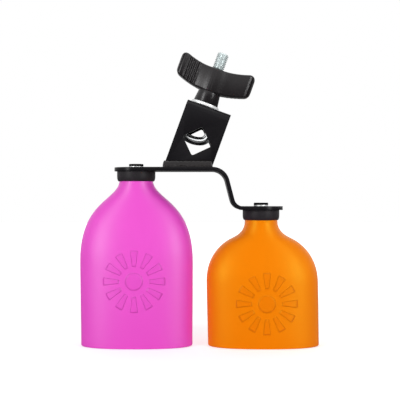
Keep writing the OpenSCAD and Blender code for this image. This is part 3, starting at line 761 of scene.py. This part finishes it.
# %% [markdown]
# ## Plan lines of the wings
# One face of each wing is smooth, and the other is hollowed for a finger and ribbed. Seen from
# above, each face is a line of half depths over the distance from the middle. The lines are
# averaged a little, so that the faces bend softly at their corners. The ribs could be bars of
# their own, but they are moulded with the hollow, so they are a wave that is added to its line.

# %% Plan lines
# HALF is half of the span. SMOOTH and GRIP are pairs of distance from the middle and half depth.
HALF = 26.3
SMOOTH = ((0, 8.2), (2.6, 8.1), (5.3, 7.5), (7.9, 6.9), (11, 6.6), (15.8, 6.5), (21, 6.4), (23.7, 6.1),
          (25.2, 4.9), (26.3, 2.4))
GRIP = ((0, 8.2), (2.6, 7.9), (5.3, 6.8), (7.9, 5.5), (11, 4.1), (13.7, 3.4), (16.8, 3.3), (20.5, 3.4),
        (23.1, 4.3), (25, 4.1), (25.9, 3.0), (26.3, 1.2))
RIBS, RIB_START, RIB_RUN, RIB_HALF, EASE_REACH = 4, 11.2, 10.5, 0.44, 1.4


def along(table, x):
    """The half depth that a plan line gives at the distance x."""
    for (x0, y0), (x1, y1) in zip(table, table[1:]):
        if x <= x1:
            return y0 + (y1 - y0) * (x - x0) / (x1 - x0)
    return table[-1][1]


def eased(table, x):
    """The same, averaged with what lies EASE_REACH to each side, but not at the very tip."""
    if x > HALF - EASE_REACH:
        return along(table, x)
    return (along(table, abs(x - EASE_REACH)) + 2 * along(table, x) + along(table, x + EASE_REACH)) / 4


def rib(x):
    s = (x - RIB_START) / RIB_RUN
    return RIB_HALF * (1 - math.cos(2 * math.pi * RIBS * s)) if 0 <= s <= 1 else 0.0


print("each wing has", RIBS, "ribs over", RIB_RUN, "mm")

# %% [markdown]
# ## Slices of the wings
# The form could be sculpted, or cut from a block, but then its faces would be hard to keep even.
# It is lofted along the wings instead: at each place it is an upright slice with rounded corners,
# as deep as the two plan lines allow there, and it rises towards the tips.

# %% Wing slices
# At the middle the wings stand on LOW and are HIGH tall, and their tips rise by RISE. UPPER and
# LOWER are the radii of a tip's corners.
LOW, HIGH, RISE, UPPER, LOWER = 8.0, 16.2, 5.6, 5.0, 2.6
SLICE_ROUND, ROUND_LIMIT, CORNER_PARTS, SLICES = 1.1, 2.2, 4, 420


def wing_slice(x):
    """One slice at x, which is negative on the left wing."""
    u = abs(x)
    lift = RISE * (u / HALF) ** 2
    rise, fall = (t - math.sqrt(max(0.0, t * t - max(0.0, u - (HALF - t)) ** 2)) for t in (LOWER, UPPER))
    low, high = LOW + lift + rise, LOW + HIGH + lift - fall
    smooth, grip = eased(SMOOTH, u), eased(GRIP, u) + rib(u)
    front, back = (-smooth, grip) if x > 0 else (-grip, smooth)
    r = min(SLICE_ROUND, (back - front) / ROUND_LIMIT, (high - low) / ROUND_LIMIT)
    ring = []
    for cy, cz, start in ((back - r, high - r, 0), (front + r, high - r, 1),
                          (front + r, low + r, 2), (back - r, low + r, 3)):
        for i in range(CORNER_PARTS + 1):
            a = QUARTER * (start + i / CORNER_PARTS)
            ring.append((x, cy + r * math.cos(a), cz + r * math.sin(a)))
    return ring


print("wing slice of", len(wing_slice(0)), "points,", SLICES + 1, "slices")

# %% [markdown]
# ## The whole wing nut
# Below the wings a flared hub presses on the washer, and on top a low boss rings the bolt. Both
# are turned shapes with a bore that clears the bolt. Joining the solids with a boolean would
# break up the even faces of the wings, so hub and boss just sink into them and look like one
# moulding.

# %% Wing nut
BORE, HUB_FOOT, HUB_FLARE, HUB_TOP, FOOT_EDGE, HUB_SINK = 4.3, 8.2, 8.55, 7.6, 0.4, 8
BOSS_BORE, BOSS_R, BOSS_SINK, BOSS_H, BOSS_EDGE, WASHER_T = 4.35, 5.5, 3, 0.7, 0.3, 1.8

wings = rings([wing_slice(-HALF + 2 * HALF * i / SLICES) for i in range(SLICES + 1)], closed=False)
hub = rings(turned([(BORE, 0), (HUB_FOOT, 0), (HUB_FLARE, FOOT_EDGE), (HUB_TOP, LOW),
                    (HUB_TOP, LOW + HUB_SINK), (BORE, LOW + HUB_SINK)]))
boss_top = LOW + HIGH + BOSS_H
boss_low = LOW + HIGH - BOSS_SINK
boss = rings(turned([(BOSS_BORE, boss_low), (BOSS_R, boss_low), (BOSS_R, boss_top - BOSS_EDGE),
                     (BOSS_R - BOSS_EDGE, boss_top), (BOSS_BORE, boss_top)]))
NUT = BOLT @ Matrix.Translation((0, 0, WASHER_T))
piece("wing_nut_moulded", *joined(wings, hub, boss), nylon, "nut", "wing_nut", NUT, sharp=50)

# %% [markdown]
# ## The white room
# The room is a world shader that answers each kind of ray in its own way. The camera sees plain
# white. Diffuse light is low from the front, where the lamps work, and full from the white wall
# behind, which lights the object's back. Reflections see white at the sides and above, and a dark
# room low behind the camera, so that flat black faces stay deep and bright metal gets contrast.
# Real walls could do the same, but a shader adds no pieces and no noise.

# %% World
# From is a direction, with -1 straight behind the camera or below and 1 ahead or above. To is a
# strength, or a share of white.
BACK_FILL = dict(From_Min=0.1, From_Max=0.75, To_Min=0.19, To_Max=1.1)
FRONT_TO_SIDE = dict(From_Min=-0.85, From_Max=-0.3, To_Min=0.0, To_Max=0.65)
LOW_TO_HIGH = dict(From_Min=-0.02, From_Max=0.2, To_Min=0.02, To_Max=1.3)
WHITE, FULL = "#FFFFFF", 1.0

world = bpy.data.worlds.new("white_studio")
bpy.context.scene.world = world
world.use_nodes = True
tree = world.node_tree
ray = add_node(tree, "LightPath")
where = add_node(tree, "TexCoord")
way = add_node(tree, "SeparateXYZ", [(0, where.outputs["Generated"])])
side_share = add_node(tree, "MapRange", [(0, way.outputs["Y"])], **SOFT, **FRONT_TO_SIDE)
upward = add_node(tree, "MapRange", [(0, way.outputs["Z"])], **SOFT, **LOW_TO_HIGH)
mirrored = add_node(tree, "Mix", [(0, side_share), (2, upward), (3, FULL)])
fill = add_node(tree, "MapRange", [(0, way.outputs["Y"])], **SOFT, **BACK_FILL)
lit = add_node(tree, "Mix", [(0, ray.outputs["Is Glossy Ray"]), (2, fill), (3, mirrored)])
seen = add_node(tree, "Mix", [(0, ray.outputs["Is Camera Ray"]), (2, lit), (3, FULL)])
background = tree.nodes["Background"]
background.inputs["Color"].default_value = linear(WHITE)
tree.links.new(seen.outputs[0], background.inputs["Strength"])
print("world ready")

# %% [markdown]
# ## White paper floor
# The object stands on white paper. Lit like the object, paper would come out grey, so for the
# camera it also glows: half as bright as white near the object, where its shadow has to show, and
# fully white from half a metre on, so that no horizon shows. Reflections see a dim floor, which
# keeps the underside of black pieces dark.

# %% Floor
PAPER, PAPER_ROUGHNESS, FLOOR_DROP, FLOOR_HALF, DIM = "#EDEDED", 0.9, 0.0002, 3, 0.15
GLOW = dict(From_Min=0.15, From_Max=0.5, To_Min=0.5, To_Max=1.0)

paper, tree, surface = new_material("white_background_paper")
surface.inputs["Base Color"].default_value = linear(PAPER)
surface.inputs["Roughness"].default_value = PAPER_ROUGHNESS
surface.inputs["Specular IOR Level"].default_value = 0.0
ray = add_node(tree, "LightPath")
here = add_node(tree, "TexCoord")
far = add_node(tree, "VectorMath", [(0, here.outputs["Object"])], operation="LENGTH")
fade = add_node(tree, "MapRange", [(0, far.outputs["Value"])], **SOFT, **GLOW)
glow = add_node(tree, "Emission", [("Strength", fade)])
glowing = add_node(tree, "AddShader", [(0, surface), (1, glow)])
direct = add_node(tree, "MixShader", [(0, ray.outputs["Is Camera Ray"]), (1, surface), (2, glowing)])
dim = add_node(tree, "Emission", Strength=DIM)
shown = add_node(tree, "MixShader", [(0, ray.outputs["Is Glossy Ray"]), (1, direct), (2, dim)])
tree.links.new(shown.outputs[0], tree.nodes["Material Output"].inputs["Surface"])

mesh = bpy.data.meshes.new("paper_floor")
corners = [(x * FLOOR_HALF, y * FLOOR_HALF, 0) for x, y in ((-1, -1), (1, -1), (1, 1), (-1, 1))]
mesh.from_pydata(corners, [], [tuple(range(len(corners)))])
mesh.materials.append(paper)
floor = bpy.data.objects.new("paper_floor", mesh)
floor.location.z = -FLOOR_DROP
bpy.context.scene.collection.objects.link(floor)
print("floor of", 2 * FLOOR_HALF, "m")

# %% [markdown]
# ## Lamps
# Two tall soft lamps stand left and right of the camera, so every upright round shape shows a
# pale band on each side of its middle. A weak wide one above opens the shoulders. Their power is
# just enough for a colour to come out as bright as it was picked.

# %% Lamps and tone


def lamp(name, at, aim, wide, high, power):
    """A rectangle of light, in metres and watts, that faces the point aim."""
    data = bpy.data.lights.new(name, "AREA")
    data.shape, data.size, data.size_y, data.energy = "RECTANGLE", wide, high, power
    made = bpy.data.objects.new(name, data)
    made.location = at
    made.rotation_euler = (Vector(aim) - Vector(at)).to_track_quat("-Z", "Y").to_euler()
    bpy.context.scene.collection.objects.link(made)


for side, mark in ((-1, "left"), (1, "right")):
    lamp(mark + "_softbox", (side * 0.56, -0.57, 0.2), (0, 0, 0.09), wide=0.16, high=0.5, power=3.15)
lamp("top_softbox", (0, -0.1, 0.8), (0, 0, 0.1), wide=0.6, high=0.4, power=0.95)
bpy.context.scene.view_settings.view_transform = "Standard"
print("lamps:", sorted(data.name for data in bpy.data.lights))

# %% [markdown]
# ## End

# %% End
print("scene ready")
